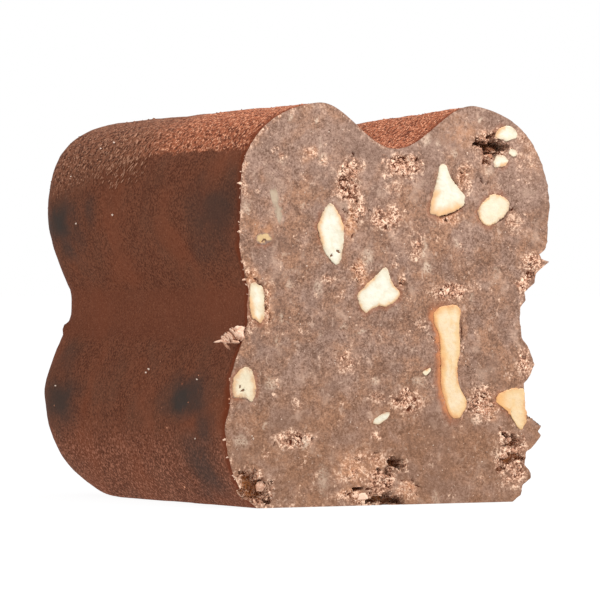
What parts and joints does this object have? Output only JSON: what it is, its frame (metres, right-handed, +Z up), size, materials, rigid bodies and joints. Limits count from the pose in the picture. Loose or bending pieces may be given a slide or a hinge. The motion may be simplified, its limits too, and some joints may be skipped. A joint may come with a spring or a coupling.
{
  "type": "chocolate truffle",
  "caption": "Lobed block of nut chocolate rolled in cocoa, cut flat across one end so that pale chopped nuts and torn crumb show in the cut.",
  "frame": {"origin": "on the base, under the middle of the box round the whole piece", "axes": "+Z up, -Y out of the cut face, +X to the right of someone facing the cut"},
  "size_m": [0.0234, 0.0252, 0.0238],
  "materials": {
    "chocolate": "dry cocoa dust outside, matte nut chocolate in the cut",
    "nut": "cream white, slightly waxy chopped nut"
  },
  "bodies": {
    "root": {"chocolate": "chocolate", "nut_oval": "nut", "nut_teardrop": "nut", "nut_rhombus": "nut", "nut_corner_upper": "nut", "nut_corner_small": "nut", "nut_corner_lower": "nut", "nut_pointed": "nut", "nut_long": "nut", "nut_wedge": "nut", "nut_rim_upper": "nut", "nut_rim_lower": "nut", "nut_sliver": "nut", "nut_chip_left": "nut", "nut_chip_middle": "nut", "nut_chip_low": "nut"}
  },
  "joints": []
}
